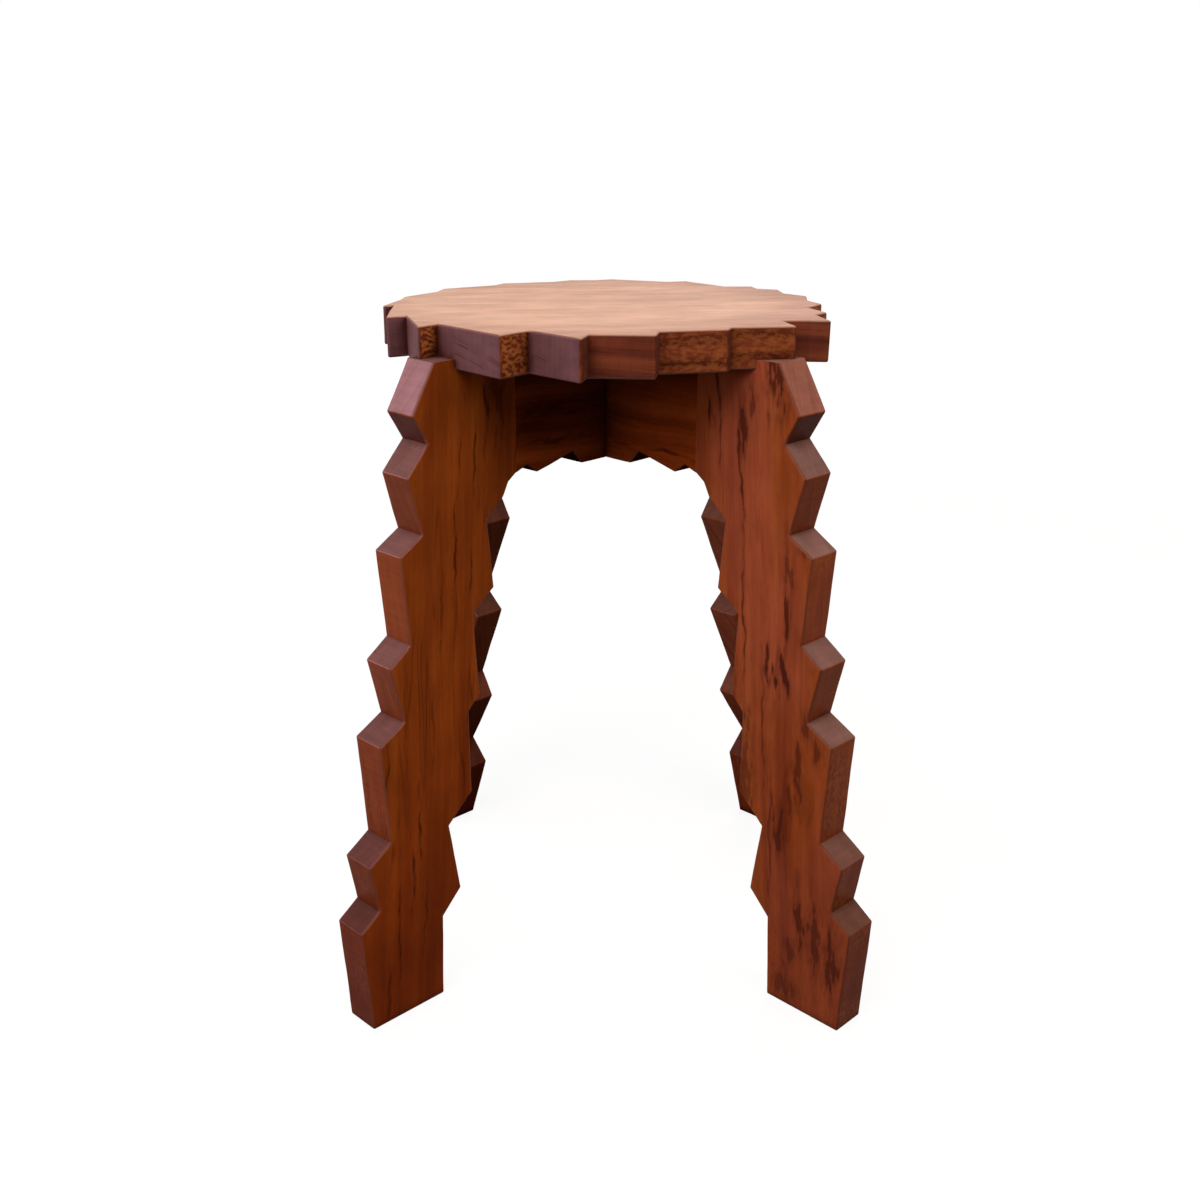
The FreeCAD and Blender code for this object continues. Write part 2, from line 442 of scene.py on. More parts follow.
def eased_noise(tree, surface, look, name):
    """The noise of a row, eased to what its two ends stand for."""
    return tree.between(plain_noise(tree, surface, look, name), *noise_rows[name][3])


def wandering_section(tree, place, look):
    """A point's place in the trunk's section, which drifts along the trunk as the tree grew."""
    u, v, w = place
    section = tree.stack(u, v, 0.0)
    for size, rates in look["drifts"]:
        drift = patches(tree, place, rates, look["seed"] + size, drift_detail, "Color")
        drift = tree.vector("SUBTRACT", drift, (noise_middle,) * 3)
        section = tree.vector("ADD", section, tree.vector("MULTIPLY", drift, (size, size, 0)))
    return section


def read_surface(tree, board, look):
    """What a material knows of a point: where it lies in its board and how its face looks."""
    across, through, along = board["axes"]
    spot = tree.add("ShaderNodeTexCoord").outputs["Object"]
    normal = tree.add("ShaderNodeTexCoord").outputs["Normal"]
    region = tree.add("ShaderNodeAttribute", attribute_name=flat_region_name).outputs["Fac"]
    centred = tree.vector("SUBTRACT", spot, board["origin"])
    place = [
        tree.vector("DOT_PRODUCT", centred, direction * millimetres)
        for direction in (across, through, along)
    ]
    section = wandering_section(tree, place, look)
    broad = tree.number("ABSOLUTE", tree.vector("DOT_PRODUCT", normal, through))
    lengthwise = tree.vector("DOT_PRODUCT", normal, along)
    ends = tree.number("ABSOLUTE", lengthwise)
    up = tree.vector("DOT_PRODUCT", normal, upright)
    tip = tree.between(tree.vector("DOT_PRODUCT", spot, (1, 0, 0)), *tip_reach, 1.0, 0.0)
    tip = tree.product(tip, tree.between(up, *tip_lift, 1.0, 0.0))
    return {
        "spot": spot,
        "place": place,
        "radius": tree.vector("LENGTH", tree.vector("SUBTRACT", section, (*look["pith"], 0))),
        "broad": broad,
        "along": lengthwise,
        "up": up,
        "ends": ends,
        "side": tree.number("SUBTRACT", 1.0, ends),
        "left end": tree.number("MAXIMUM", tree.product(lengthwise, -1.0), tip),
        "right end": tree.number("SUBTRACT", lengthwise, tip),
        "on flat": tree.number("MINIMUM", region, 1.0),
        "on edge": tree.between(broad, *edge_range, 1.0, 0.0),
        "on top": tree.between(up, *top_range),
        # The lifted mask: where the bleach goes, partly a painted sheen on faces that look up
        "lifted": tree.between(up, lifted_from, look["bleach_and_sheen_full"], 0.0, look["bleach_and_sheen_share"]),
        # The low mask: where the painted shade towards the floor goes
        "low": tree.between(tree.vector("DOT_PRODUCT", spot, upright), *foot_shade_range, 1.0, 0.0),
    }


def rings(tree, surface, rates):
    """Soft noise that follows the growth rings."""
    ring_rate, along_rate, seed = rates
    where = tree.stack(
        tree.number("MULTIPLY", surface["radius"], ring_rate),
        seed,
        tree.number("MULTIPLY", surface["place"][2], along_rate),
    )
    return tree.clouds(where, ring_detail)


def face_tints(tree, surface, bands, look):
    """The wood's own bands, then the tints of sawn edges, painted shade on undersides, and on tops
    and ledges a bleach that is partly painted sheen.
    """
    tint = tree.ramp(bands, look["tones"])
    blotches = tree.product(eased_noise(tree, surface, look, "blotch"), look["blotch_share"])
    tint = tree.blend(blotches, tint, look["blotch"])
    tint = tree.blend(tree.product(surface["on edge"], look["edge_share"]), tint, look["edge"])
    # Faces that look down get a darker tint: painted shade
    under = tree.between(surface["up"], *under_range, look["under_share"], 0.0)
    tint = tree.blend(under, tint, look["under"])
    # Faces that look up get a paler bleach, partly a painted sheen
    tint = tree.blend(surface["lifted"], tint, look["bleach_and_sheen"])
    # Ledges get an end-grain tint that is partly a painted sheen
    ledge_grain_and_sheen = tree.between(surface["up"], *ledge_range, 0.0, look["bleach_and_sheen_share"])
    return tree.blend(ledge_grain_and_sheen, tint, look["ledge_grain_and_sheen"])


def grain_and_painted_shade(tree, surface, bands, fibres, look):
    """How light or dark the rings and fibres are, the board's shade, which is painted light or
    shade on the back legs, the right leg and the rails, and painted shade in recesses.
    """
    growth = tree.between(rings(tree, surface, look["growth"]), *ring_range, *look["growth_tints"])
    calm = tree.number("MULTIPLY_ADD", growth, calm_share, 1.0 - calm_share)
    growth = tree.between(surface["up"], *top_range, growth, calm)
    depth = tree.between(surface["on edge"], 0.0, 1.0, look["fibre_depth"], edge_fibre_depth)
    fibres = tree.between(fibres, *noise_rows["fibre"][3])
    fibres = tree.number("MULTIPLY_ADD", fibres, depth, 1.0)
    banded = tree.between(bands, *band_range, *look["band_tints"])
    shade = tree.product(growth, fibres, banded, look["shade"])
    # Recesses, such as the one under the seat, get painted shade
    if look["recess_shade"] < 1.0:
        recess_openness = tree.hollow(recess_shade_reach)
        shade = tree.product(shade, tree.between(recess_openness, *recess_shade_range, look["recess_shade"], 1.0))
    return shade


def foot_shade_and_end_tints(tree, surface, end, tint, look):
    """Painted shade that darkens the feet towards the floor, and the tints of the ends of the
    grain, which on the seat's left end are partly a painted cool sheen.
    """
    tint = tree.blend(surface["low"], tint, look["foot_shade"], "MULTIPLY")
    # End grain tint, on the seat's left end partly a painted cool sheen
    tint = tree.blend(tree.product(end, look["end_grain_and_sheen_share"]), tint, look["end"])
    far_end = tree.between(surface["right end"], *far_end_range, 0.0, look["far_end_share"])
    tint = tree.blend(far_end, tint, look["far_end"])
    # Sawn edges darken further towards the floor: painted shade
    low_edge_shade = tree.product(surface["low"], surface["low"], surface["on edge"])
    return tree.blend(low_edge_shade, tint, look["edge_foot_shade"], "MULTIPLY")


def surface_shade(tree, surface, look):
    """The mottling of the whole board, the saw's marks on edges and the fine lines on top."""
    kerf = tree.between(surface["on edge"], 0.0, 1.0, 1.0, eased_noise(tree, surface, look, "kerf"))
    shade = tree.product(eased_noise(tree, surface, look, "mottle"), kerf)
    if look["top_lines"]:
        lines = eased_noise(tree, surface, look, "top line")
        shade = tree.product(shade, tree.between(surface["up"], *top_range, 1.0, lines))
    return shade


def handled_rim(tree, surface):
    """How near a point of the seat's top is to the handled rim."""
    far = tree.vector("MULTIPLY", surface["spot"], (1, 1, 0))
    far = tree.vector("LENGTH", tree.vector("SUBTRACT", far, handled_middle))
    return tree.product(tree.between(far, *handled_reach), surface["on top"])


def thin_streaks(tree, surface, look):
    """Thin dark streaks that follow the rings and come and go along them."""
    ring = rings(tree, surface, look["streaks"])
    off_streak = tree.number("ABSOLUTE", tree.number("SUBTRACT", ring, noise_middle))
    streaks = tree.between(off_streak, 0.0, look["streak_width"], look["streak_share"], 0.0)
    return tree.product(streaks, eased_noise(tree, surface, look, "streak"))


def placed_figure(tree, surface, look):
    """Dark streaks and flames at their places in this board. Each row holds the middle
    across and along the board, half the width, half the length and how dark it is."""
    u, v, w = surface["place"]
    spot = tree.stack(
        tree.number("ADD", u, eased_noise(tree, surface, look, "bent")),
        tree.number("ADD", w, eased_noise(tree, surface, look, "licked")),
        0.0,
    )
    ragged = eased_noise(tree, surface, look, "ragged")
    total = 0.0
    for middle_across, middle_along, half_width, half_length, share in look["figure"]:
        far = tree.vector("SUBTRACT", spot, (middle_across, middle_along, 0))
        far = tree.vector("MULTIPLY", far, (1 / half_width, 1 / half_length, 0))
        far = tree.number("ADD", tree.vector("LENGTH", far), ragged)
        haze = tree.between(far, *haze_range, share * haze_share, 0.0)
        core = tree.between(far, *core_range, share, 0.0)
        total = tree.number("MAXIMUM", total, tree.number("MAXIMUM", haze, core))
    return total


def dark_marks(tree, surface, pores, look):
    """The streaks, placed marks and pores together, fainter where the wood is bleached."""
    marks = thin_streaks(tree, surface, look)
    if look["figure"]:
        figure = tree.product(placed_figure(tree, surface, look), surface["broad"])
        marks = tree.number("MAXIMUM", marks, figure)
    marks = tree.number("MAXIMUM", marks, tree.product(pores, look["pore_share"]))
    faded = tree.between(surface["lifted"], *faded_range, 1.0, look["faded_streaks"])
    return tree.product(marks, faded)


def woven_figure(tree, surface, look):
    """The light flecks and the dark rows between them, where the saw climbed against the grain."""
    along = surface["along"]
    row = tree.number("ADD", surface["place"][1], eased_noise(tree, surface, look, "zigzag"))
    row = tree.number("ADD", row, eased_noise(tree, surface, look, "drift"))
    wave = tree.number("SINE", tree.product(row, 2 * math.pi / net_row))
    wave_share = tree.between(along, *net_wave_range, *net_wave_shares)
    weave = tree.number("MULTIPLY_ADD", wave, wave_share, plain_noise(tree, surface, look, "weave"))
    here = tree.product(
        tree.between(surface[look["net_side"]], *look["net_range"]),
        tree.between(along, *net_end_range, 1.0, net_end_share),
        tree.between(plain_noise(tree, surface, look, "net"), *look["net_patches"]),
        tree.between(along, *net_front_range, look["net_front"], 1.0),
        surface["on edge"],
        tree.between(surface["up"], *level_range, 1.0, 0.0),
        surface["on flat"],
    )
    light = tree.product(tree.between(weave, *light_range, 0.0, look["net_share"]), here)
    dark = tree.product(tree.between(weave, *dark_range, look["net_dark"], 0.0), here)
    return light, dark


def wear_and_shade_tints(tree, surface, tint, look):
    """The rims' tint, a lighter wear on the seat and on the other boards a painted shade that
    darkens their highlight, and painted shade in crevices.
    """
    rim = tree.product(surface["broad"], tree.number("SUBTRACT", 1.0, surface["broad"]))
    rim = tree.between(rim, *rim_range, 0.0, look["wear_and_rim_shade_share"])
    tint = tree.blend(rim, tint, look["wear_and_rim_shade"])
    # Corners and crevices get a dark tint: painted shade
    crevice_shade = tree.between(tree.hollow(crevice_shade_reach), *crevice_shade_range, look["crevice_shade_share"], 0.0)
    return tree.blend(crevice_shade, tint, look["streak"])


def relief(tree, surface, fibres, pores, look):
    """The bumps of fibres and pores, and of the saw's kerfs on sawn edges."""
    kerfs = tree.product(plain_noise(tree, surface, look, "kerf bump"), surface["on edge"])
    height = tree.number("MULTIPLY_ADD", pores, pore_bump, fibres)
    height = tree.number("MULTIPLY_ADD", kerfs, kerf_bump, height)
    values = {"Height": height, "Strength": bump_strength, "Distance": bump_distance}
    return tree.add("ShaderNodeBump", values).outputs["Normal"]


def wood(name, board, look):
    """Wood whose rings, streaks, fibres and pores run through a board as they do in a plank."""
    material = bpy.data.materials.new(name)
    tree = Tree(material)
    surface = read_surface(tree, board, look)
    bands = rings(tree, surface, look["bands"])
    fibres = plain_noise(tree, surface, look, "fibre")
    pores = eased_noise(tree, surface, look, "pore")
    end = tree.between(surface[look["end_side"]], *look["end_range"])

    tint = face_tints(tree, surface, bands, look)
    tint = tree.shaded(tint, grain_and_painted_shade(tree, surface, bands, fibres, look))
    tint = foot_shade_and_end_tints(tree, surface, end, tint, look)
    tint = tree.shaded(tint, surface_shade(tree, surface, look))
    if look["handled"]:
        tint = tree.blend(handled_rim(tree, surface), tint, look["handled"], "MULTIPLY")
    tint = tree.blend(dark_marks(tree, surface, pores, look), tint, look["streak"])
    light, dark = woven_figure(tree, surface, look)
    tint = tree.blend(light, tint, look["net"])
    tint = tree.blend(dark, tint, look["streak"])
    tint = wear_and_shade_tints(tree, surface, tint, look)

    low, high, smoother, rougher = fibre_roughness
    smoothest = look["roughness"] + smoother
    roughness = tree.between(fibres, low, high, smoothest, look["roughness"] + rougher)
    roughness = tree.number("MULTIPLY_ADD", pores, pore_roughness, roughness)
    roughness = tree.number("MULTIPLY_ADD", end, end_roughness, roughness)
    values = {
        "Base Color": tint,
        "Roughness": roughness,
        "Normal": relief(tree, surface, fibres, pores, look),
        "Specular IOR Level": look["specular"],
    }
    shader = tree.shader("ShaderNodeBsdfPrincipled", values)
    tree.add("ShaderNodeOutputMaterial", {"Surface": shader})
    return material


# The woods. Tones go from the darkest band to the lightest. Rings, bands and streaks hold their
# counts to a millimetre across and along the grain, and a shift that keeps their noise apart.
# Drifts hold a size in millimetres and their counts to a millimetre. Figures are in millimetres.

plain_look = {
    "drifts": ((5.0, (0.010, 0.010, 0.005)), (1.2, (0.16, 0.16, 0.03))),
    "pith": (120.0, 150.0),
    "bands": (0.11, 0.003, 3.0),
    "growth": (0.42, 0.004, 7.0),
    "growth_tints": (0.92, 1.06),
    "band_tints": (1.0, 1.0),
    # The shade: the whole board lighter or darker, as painted light or shade
    "shade": 1.0,
    "fibre_depth": 0.07,
    "top_lines": False,
    # The recess tint: painted shade in recesses, one for none
    "recess_shade": 1.0,
    "handled": None,
    # The foot tints darken the legs towards the floor: painted shade
    "foot_shade": colour(0.76, 0.58, 0.54),
    "edge_foot_shade": colour(0.62, 0.52, 0.44),
    "streaks": (0.060, 0.0016, 11.0),
    "streak_width": 0.011,
    "streak_share": 0.50,
    "streak": colour(0.045, 0.006, 0.0015),
    "faded_streaks": 0.35,
    "pore_share": 0.22,
    "figure": (),
    "net": colour(0.36, 0.11, 0.025),
    "net_share": 0.12,
    "net_dark": 0.10,
    "net_side": "side",
    "net_range": (0.60, 0.85),
    "net_patches": (0.45, 0.60, 0.0, 1.0),
    "net_front": 1.0,
    "end": colour(0.165, 0.058, 0.040),
    "end_side": "ends",
    "end_range": (0.25, 0.90),
    "end_grain_and_sheen_share": 0.0,
    "far_end": colour(0.075, 0.018, 0.012),
    "far_end_share": 0.0,
    "edge": colour(0.250, 0.052, 0.022),
    "edge_share": 0.70,
    # The underside tint and its share: painted shade on faces that look down
    "under": colour(0.085, 0.024, 0.022),
    "under_share": 0.85,
    # The bleach: partly bleaching and dust, partly a painted sheen on faces that look up
    "bleach_and_sheen": colour(0.290, 0.140, 0.158),
    "bleach_and_sheen_share": 0.85,
    "bleach_and_sheen_full": 0.42,
    # The ledge tint: end grain, partly a painted sheen
    "ledge_grain_and_sheen": colour(0.124, 0.046, 0.037),
    # The wear tint: on legs and rails a painted shade that darkens the rims' highlight, on the seat
    # a lighter wear
    "wear_and_rim_shade": colour(0.16, 0.055, 0.038),
    "wear_and_rim_shade_share": 0.65,
    # The crevice share: painted shade in corners and crevices
    "crevice_shade_share": 0.88,
    "blotch": colour(0.150, 0.026, 0.004),
    "blotch_share": 0.45,
    "roughness": 0.45,
    "specular": 0.02,
}

left_leg_look = dict(
    plain_look,
    seed=3.1,
    tones=[
        (0.28, colour(0.190, 0.032, 0.0045)),
        (0.42, colour(0.275, 0.051, 0.0065)),
        (0.55, colour(0.330, 0.066, 0.0080)),
        (0.72, colour(0.390, 0.086, 0.0110)),
    ],
    figure=(
        (-11.6, 98.0, 1.0, 34.0, 0.80),
        (-25.1, 153.0, 0.8, 18.0, 0.75),
        (-14.0, 150.0, 0.8, 16.0, 0.50),
        (-34.0, 187.0, 1.6, 22.0, 0.80),
        (-44.0, 192.0, 6.0, 26.0, 0.60),
        (-24.0, 82.0, 0.8, 20.0, 0.60),
        (-2.0, 60.0, 0.7, 24.0, 0.55),
        (40.8, -45.0, 0.8, 26.0, 0.70),
        (14.8, -82.0, 1.0, 22.0, 0.85),
        (21.2, -119.0, 0.9, 22.0, 0.80),
        (31.0, -164.0, 0.9, 36.0, 0.80),
        (10.0, -150.0, 0.7, 26.0, 0.60),
        (5.0, -20.0, 0.6, 26.0, 0.50),
        (26.0, -30.0, 0.6, 22.0, 0.45),
        (40.0, -195.0, 1.4, 18.0, 0.60),
    ),
)
# The back legs: darker copies of the left leg's wood as painted shade, with darker edge, underside,
# bleach and ledge tints of their own
back_left_leg_look = dict(
    left_leg_look,
    seed=5.9,
    shade=0.78,
    edge=colour(0.310, 0.066, 0.024),
    under=colour(0.170, 0.045, 0.024),
    bleach_and_sheen=colour(0.295, 0.100, 0.062),
    ledge_grain_and_sheen=colour(0.155, 0.055, 0.036),
    specular=0.0,
)
# The back right leg: less darkened and with lighter tints, still painted shade
back_right_leg_look = dict(
    back_left_leg_look,
    seed=11.2,
    shade=0.95,
    edge=colour(0.520, 0.118, 0.052),
    under=colour(0.350, 0.094, 0.050),
    bleach_and_sheen=colour(0.360, 0.135, 0.095),
    ledge_grain_and_sheen=colour(0.200, 0.078, 0.058),
)
right_leg_look = dict(
    plain_look,
    seed=8.7,
    tones=[
        (0.28, colour(0.170, 0.027, 0.0070)),
        (0.42, colour(0.255, 0.047, 0.0105)),
        (0.55, colour(0.315, 0.064, 0.0150)),
        (0.72, colour(0.380, 0.090, 0.0200)),
    ],
    # A shade above one: painted light over the whole board
    shade=1.04,
    edge=colour(0.220, 0.046, 0.016),
    under=colour(0.060, 0.016, 0.010),
    edge_foot_shade=colour(0.70, 0.58, 0.46),
    wear_and_rim_shade=colour(0.130, 0.036, 0.020),
    blotch_share=0.55,
    bleach_and_sheen=colour(0.262, 0.096, 0.066),
    ledge_grain_and_sheen=colour(0.165, 0.081, 0.067),
    net_share=0.30,
    net_dark=0.18,
    foot_shade=colour(0.80, 0.74, 0.66),
    blotch=colour(0.355, 0.074, 0.038),
    streak=colour(0.050, 0.008, 0.005),
    streak_share=0.25,
    figure=(
        (-22.5, 150.0, 1.0, 44.0, 0.85),
        (-22.5, 60.0, 0.9, 56.0, 0.75),
        (-8.0, -20.0, 0.8, 48.0, 0.65),
        (-3.0, -95.0, 1.0, 36.0, 0.60),
        (-47.0, 179.0, 2.4, 4.6, 0.92),
        (-39.5, 196.0, 1.3, 22.0, 0.85),
        (-39.5, 165.0, 0.9, 16.0, 0.60),
        (-13.0, 196.0, 2.6, 16.0, 0.65),
        (-19.0, 174.0, 3.4, 15.0, 0.85),
        (-22.5, 160.0, 1.6, 12.0, 0.80),
        (6.0, 212.0, 10.0, 26.0, 0.85),
        (24.0, 106.0, 7.0, 10.0, 0.60),
        (13.0, 92.0, 4.0, 16.0, 0.65),
        (12.2, 60.0, 2.2, 20.0, 0.85),
        (-3.0, 24.0, 2.6, 10.0, 0.90),
        (3.5, 14.0, 2.4, 9.0, 0.92),
        (10.0, 22.0, 3.4, 12.0, 0.92),
        (28.0, -8.0, 3.5, 14.0, 0.65),
        (36.0, -24.0, 4.0, 12.0, 0.70),
        (20.0, -44.0, 4.0, 20.0, 0.70),
        (12.0, -66.0, 3.0, 12.0, 0.60),
        (5.0, -90.0, 5.0, 14.0, 0.75),
        (22.0, -148.0, 4.0, 24.0, 0.80),
        (33.0, -160.0, 4.0, 26.0, 0.75),
        (46.0, -172.0, 6.0, 22.0, 0.80),
        (12.0, -176.0, 5.0, 12.0, 0.60),
        (8.0, -204.0, 10.0, 8.0, 0.55),
        (-24.0, -62.0, 8.0, 52.0, 0.60),
    ),
)
rail_look = dict(
    plain_look,
    seed=14.3,
    pith=(90.0, 120.0),
    drifts=((9.0, (0.012, 0.010, 0.012)), (1.5, (0.12, 0.12, 0.03))),
    # The rails' dark tones are partly painted shade under the seat
    tones=[
        (0.28, colour(0.070, 0.008, 0.0015)),
        (0.42, colour(0.180, 0.028, 0.0040)),
        (0.55, colour(0.270, 0.044, 0.0070)),
        (0.72, colour(0.360, 0.070, 0.0110)),
    ],
    # The near-black edge and underside tints are painted shade under the seat
    edge=colour(0.070, 0.012, 0.004),
    under=colour(0.020, 0.004, 0.002),
    recess_shade=0.35,
    specular=0.0,
)
left_rail_look = dict(
    rail_look,
    # A shade below one: painted shade over the whole board
    shade=0.88,
    figure=(
        (0.0, 64.0, 6.0, 22.0, 0.75),
        (-19.5, 60.0, 2.5, 26.0, 0.70),
        (-9.0, 80.0, 2.0, 14.0, 0.50),
    ),
)
right_rail_look = dict(
    rail_look,
    seed=16.1,
    # A shade above one: painted light over the whole board
    shade=1.28,
    recess_shade=0.28,
    figure=(
        (-28.5, 72.0, 1.2, 26.0, 0.70),
        (-28.0, 25.0, 1.0, 8.0, 0.60),
    ),
)
seat_look = dict(
    plain_look,
    seed=21.9,
    pith=(-40.0, -330.0),
    drifts=((3.0, (0.010, 0.010, 0.006)), (1.2, (0.16, 0.16, 0.03))),
    tones=[
        (0.28, colour(0.080, 0.013, 0.0050)),
        (0.42, colour(0.138, 0.026, 0.0095)),
        (0.55, colour(0.180, 0.037, 0.0130)),
        (0.72, colour(0.232, 0.055, 0.0185)),
    ],
    bands=(0.13, 0.0016, 3.0),
    band_tints=(0.90, 1.03),
    streaks=(0.10, 0.0016, 11.0),
    growth=(0.30, 0.0016, 7.0),
    growth_tints=(0.86, 1.08),
    handled=colour(0.78, 0.71, 0.71),
    blotch=colour(0.120, 0.022, 0.010),
    net=colour(0.450, 0.138, 0.034),
    net_share=0.78,
    net_dark=0.43,
    net_front=0.34,
    far_end_share=0.85,
    fibre_depth=0.05,
    top_lines=True,
    wear_and_rim_shade=colour(0.22, 0.10, 0.07),
    wear_and_rim_shade_share=0.30,
    net_side="right end",
    net_range=(-0.20, 0.02),
    net_patches=(0.20, 0.45, 0.5, 1.0),
    # The left end's mauve tint is partly end grain and partly a painted cool sheen
    end=colour(0.140, 0.056, 0.062),
    end_side="left end",
    end_range=(0.15, 0.55),
    end_grain_and_sheen_share=0.92,
    edge_share=0.0,
    under=colour(0.090, 0.030, 0.020),
    # The seat top's bleach is partly sun bleaching, partly a painted sheen
    bleach_and_sheen=colour(0.508, 0.283, 0.193),
    bleach_and_sheen_share=0.90,
    bleach_and_sheen_full=0.95,
    ledge_grain_and_sheen=colour(0.508, 0.283, 0.193),
    faded_streaks=0.42,
    foot_shade=colour(1, 1, 1),
    edge_foot_shade=colour(1, 1, 1),
    specular=0.04,
)
dowel_look = dict(
    plain_look,
    seed=30.5,
    tones=[
        (0.28, colour(0.36, 0.20, 0.10)),
        (0.42, colour(0.42, 0.25, 0.13)),
        (0.55, colour(0.46, 0.28, 0.15)),
        (0.72, colour(0.50, 0.31, 0.17)),
    ],
    streak_share=0.2,
    edge_share=0.0,
    under_share=0.0,
    bleach_and_sheen_share=0.0,
    wear_and_rim_shade_share=0.0,
    net_share=0.0,
    net_dark=0.0,
)


def dress_leg(arm, look):
    """One leg, with its grain nearly upright."""
    node = "leg_" + arm
    out = arm_direction(bearings[arm])
    along = upright * math.cos(grain_lean) - out * math.sin(grain_lean)
    across = out * math.cos(grain_lean) + upright * math.sin(grain_lean)
    through = upright.cross(out)
    board = {"origin": centre_of(node), "axes": (across, through, along)}
    material = wood("leg_wood_" + arm, board, look)
    dress(node, "leg_board_" + arm, (out, upright), material)


def dress_rail(node, arm, look):
    """One cross rail, with its grain along it."""
    out = arm_direction(bearings[arm])
    board = {"origin": centre_of(node), "axes": (upright, upright.cross(out), out)}
    material = wood("rail_wood_" + node, board, look)
    dress(node, node + "_board", (out, upright), material)


def dress_seat():
    """The seat board, with its grain from left to right."""
    turn = Matrix.Rotation(seat_grain_turn, 3, "Z")
    axes = (turn @ Vector((0, 1, 0)), upright, turn @ Vector((1, 0, 0)))
    board = {"origin": centre_of("seat"), "axes": axes}
    material = wood("seat_wood", board, seat_look)
    dress("seat", "seat_board", (axes[0], axes[2]), material)


def dress_dowels():
    """The dowels stay as they are and get their wood."""
    for arm in bearings:
        out = arm_direction(bearings[arm])
        seat_node = "seat_dowels_" + arm
        rail_node = "rail_dowels_" + arm
        level = (upright, upright.cross(out), out)
        standing = (out, upright.cross(out), upright)
        for node, axes in ((seat_node, standing), (rail_node, level)):
            board = {"origin": centre_of(node), "axes": axes}
            material = wood("dowel_wood_" + node, board, dowel_look)
            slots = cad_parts[node].data.materials
            slots.clear()
            slots.append(material)


# Stage

white = colour(1, 1, 1)
floor_radius = 6.0
floor_sides = 96
floor_tint = colour(0.12, 0.115, 0.11)
floor_glow = 0.89

# The floor turns from a shadowed one to plain white between these distances
shadow_near = 0.7
shadow_far = 1.8

# The world's light rises from its low to its high strength between these heights of direction
world_tint = colour(0.93, 0.96, 1.0)
world_heights = (-0.1, 1.0)
world_strengths = (0.08, 0.60)

# Each lamp's place, size in metres, power in watts and tint
lamps = {
    "front_lamp": ((-0.45, -0.85, 1.5), 1.0, 15.0, (1.0, 0.97, 0.93)),
    "low_lamp": ((-1.2, -1.3, 0.8), 0.9, 5.0, (1.0, 0.94, 0.88)),
    "right_lamp": ((1.0, -0.75, 1.4), 0.9, 10.0, (1.0, 0.90, 0.78)),
    "left_lamp": ((-1.8, 0.3, 0.9), 1.2, 13.0, (0.82, 0.90, 1.0)),
    "back_lamp": ((0.5, 1.4, 1.7), 1.0, 11.0, (1.0, 0.97, 0.94)),
}


def seen_share(tree):
    """One for the rays that see the background, straight, mirrored or through glass, else zero."""
    path = tree.add("ShaderNodeLightPath")
    seen = tree.number("MAXIMUM", path.outputs["Is Camera Ray"], path.outputs["Is Glossy Ray"])
    return tree.number("MAXIMUM", seen, path.outputs["Is Transmission Ray"])


def make_floor():
    """A plain white floor that keeps the stool's shadow and fades into the backdrop."""
    shape = bmesh.new()
    bmesh.ops.create_circle(shape, cap_ends=True, segments=floor_sides, radius=floor_radius)
    mesh = bpy.data.meshes.new("floor")
    shape.to_mesh(mesh)
    shape.free()
    floor = bpy.data.objects.new("floor", mesh)
    bpy.context.scene.collection.objects.link(floor)
    floor.location.z = cad_low.z
    material = bpy.data.materials.new("floor_paint")
    tree = Tree(material)
    seen = seen_share(tree)
    place = tree.add("ShaderNodeTexCoord").outputs["Object"]
    fade = tree.between(tree.vector("LENGTH", place), shadow_near, shadow_far)
    paint = tree.shader("ShaderNodeBsdfDiffuse", {"Color": floor_tint})
    glow = tree.shader("ShaderNodeEmission", {"Color": white, "Strength": floor_glow})
    lifted = tree.shader("ShaderNodeAddShader", {0: paint, 1: glow})
    near = tree.shader("ShaderNodeMixShader", {0: seen, 1: paint, 2: lifted})
    backdrop = tree.shader("ShaderNodeEmission", {"Color": white, "Strength": 1.0})
    far_share = tree.product(fade, seen)
    far = tree.shader("ShaderNodeMixShader", {0: far_share, 1: near, 2: backdrop})
    tree.add("ShaderNodeOutputMaterial", {"Surface": far})
    mesh.materials.append(material)


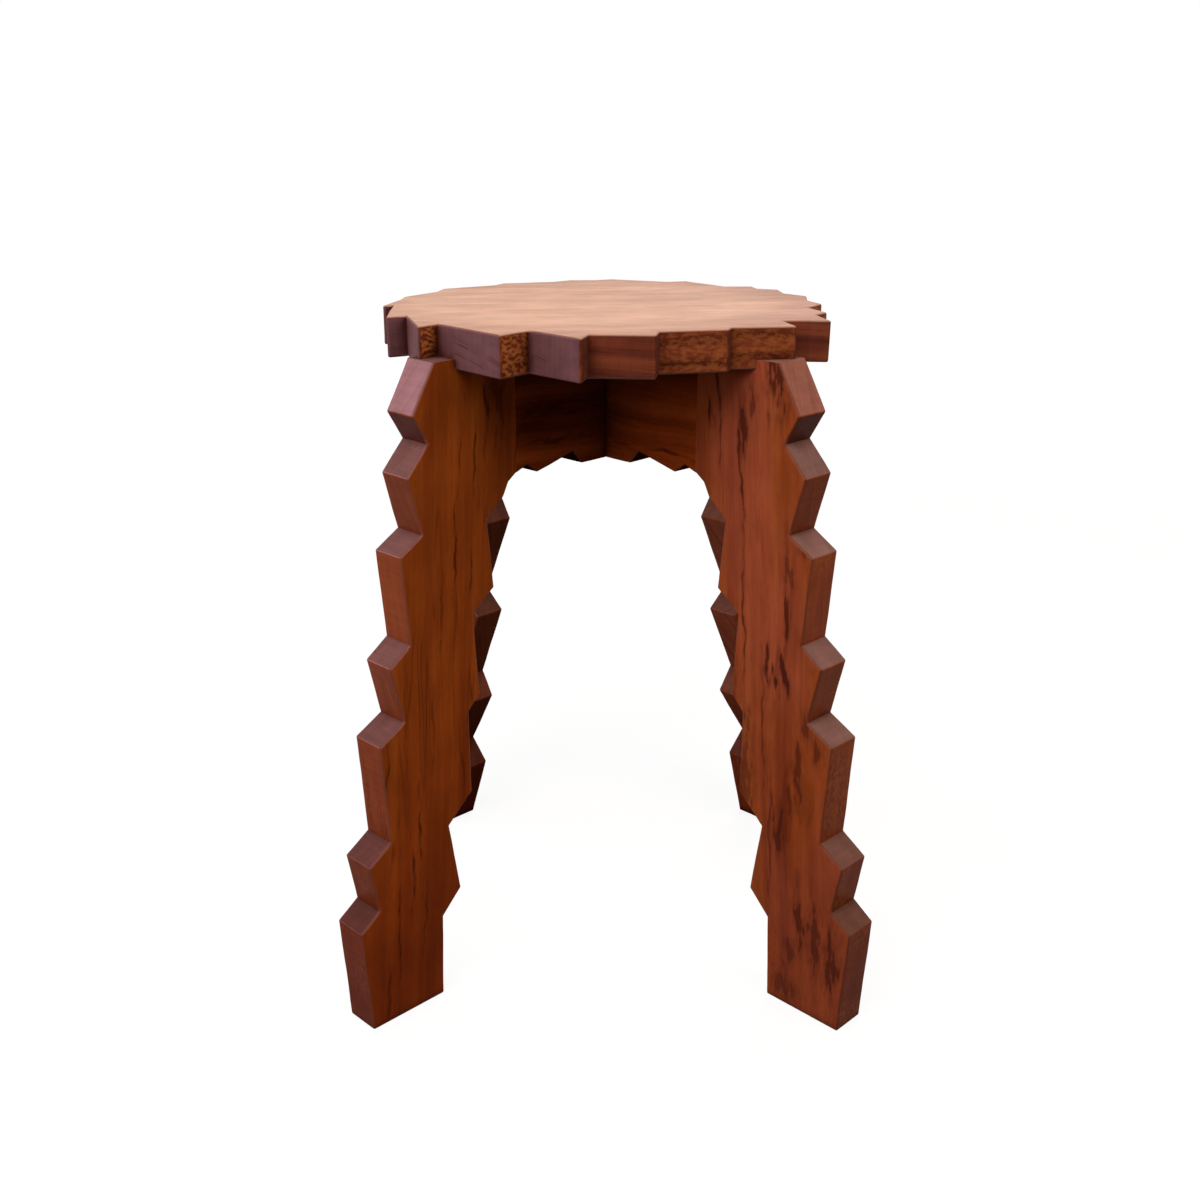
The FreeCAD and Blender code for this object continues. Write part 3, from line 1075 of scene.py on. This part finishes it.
def make_world():
    """Soft light from all round, brighter from above, in front of a white backdrop."""
    world = bpy.data.worlds.new("studio")
    bpy.context.scene.world = world
    tree = Tree(world)
    direction = tree.add("ShaderNodeTexCoord").outputs["Generated"]
    height = tree.add("ShaderNodeSeparateXYZ", {0: direction}).outputs["Z"]
    strength = tree.between(height, *world_heights, *world_strengths)
    light = tree.shader("ShaderNodeBackground", {"Color": world_tint, "Strength": strength})
    backdrop = tree.shader("ShaderNodeBackground", {"Color": white, "Strength": 1.0})
    both = tree.shader("ShaderNodeMixShader", {0: seen_share(tree), 1: light, 2: backdrop})
    tree.add("ShaderNodeOutputWorld", {"Surface": both})


def make_lamps():
    """Square soft lamps that face the stool's middle. The right one is warm, the left one cool."""
    middle = Vector((0, 0, cad_high.z / 2))
    for name, (place, size, power, tint) in lamps.items():
        lamp = bpy.data.lights.new(name, "AREA")
        lamp.shape = "SQUARE"
        lamp.size = size
        lamp.energy = power
        lamp.color = tint
        holder = bpy.data.objects.new(name, lamp)
        holder.location = place
        holder.rotation_euler = (middle - Vector(place)).to_track_quat("-Z", "Y").to_euler()
        bpy.context.scene.collection.objects.link(holder)


# Camera

camera_distance = 0.9092
camera_height = 0.5596
camera_tilt = math.radians(19.315)
camera_pan = math.radians(0.261)
camera_lens = 40.219
camera_sensor = 36.0


def make_camera():
    """The camera stands where the photograph's did."""
    lens = bpy.data.cameras.new("camera")
    lens.lens = camera_lens
    lens.sensor_width = camera_sensor
    camera = bpy.data.objects.new("camera", lens)
    camera.location = (0, -camera_distance, camera_height)
    camera.rotation_euler = (math.pi / 2 - camera_tilt, 0, camera_pan)
    bpy.context.scene.collection.objects.link(camera)
    bpy.context.scene.camera = camera


noise.seed_set(saw_seed)
dress_seat()
dress_leg("front_left", left_leg_look)
dress_leg("front_right", right_leg_look)
dress_leg("back_left", back_left_leg_look)
dress_leg("back_right", back_right_leg_look)
dress_rail("lower_cross_rail", "front_left", left_rail_look)
dress_rail("upper_cross_rail", "front_right", right_rail_look)
dress_dowels()
make_floor()
make_world()
make_lamps()
make_camera()
bpy.context.scene.view_settings.view_transform = "Standard"
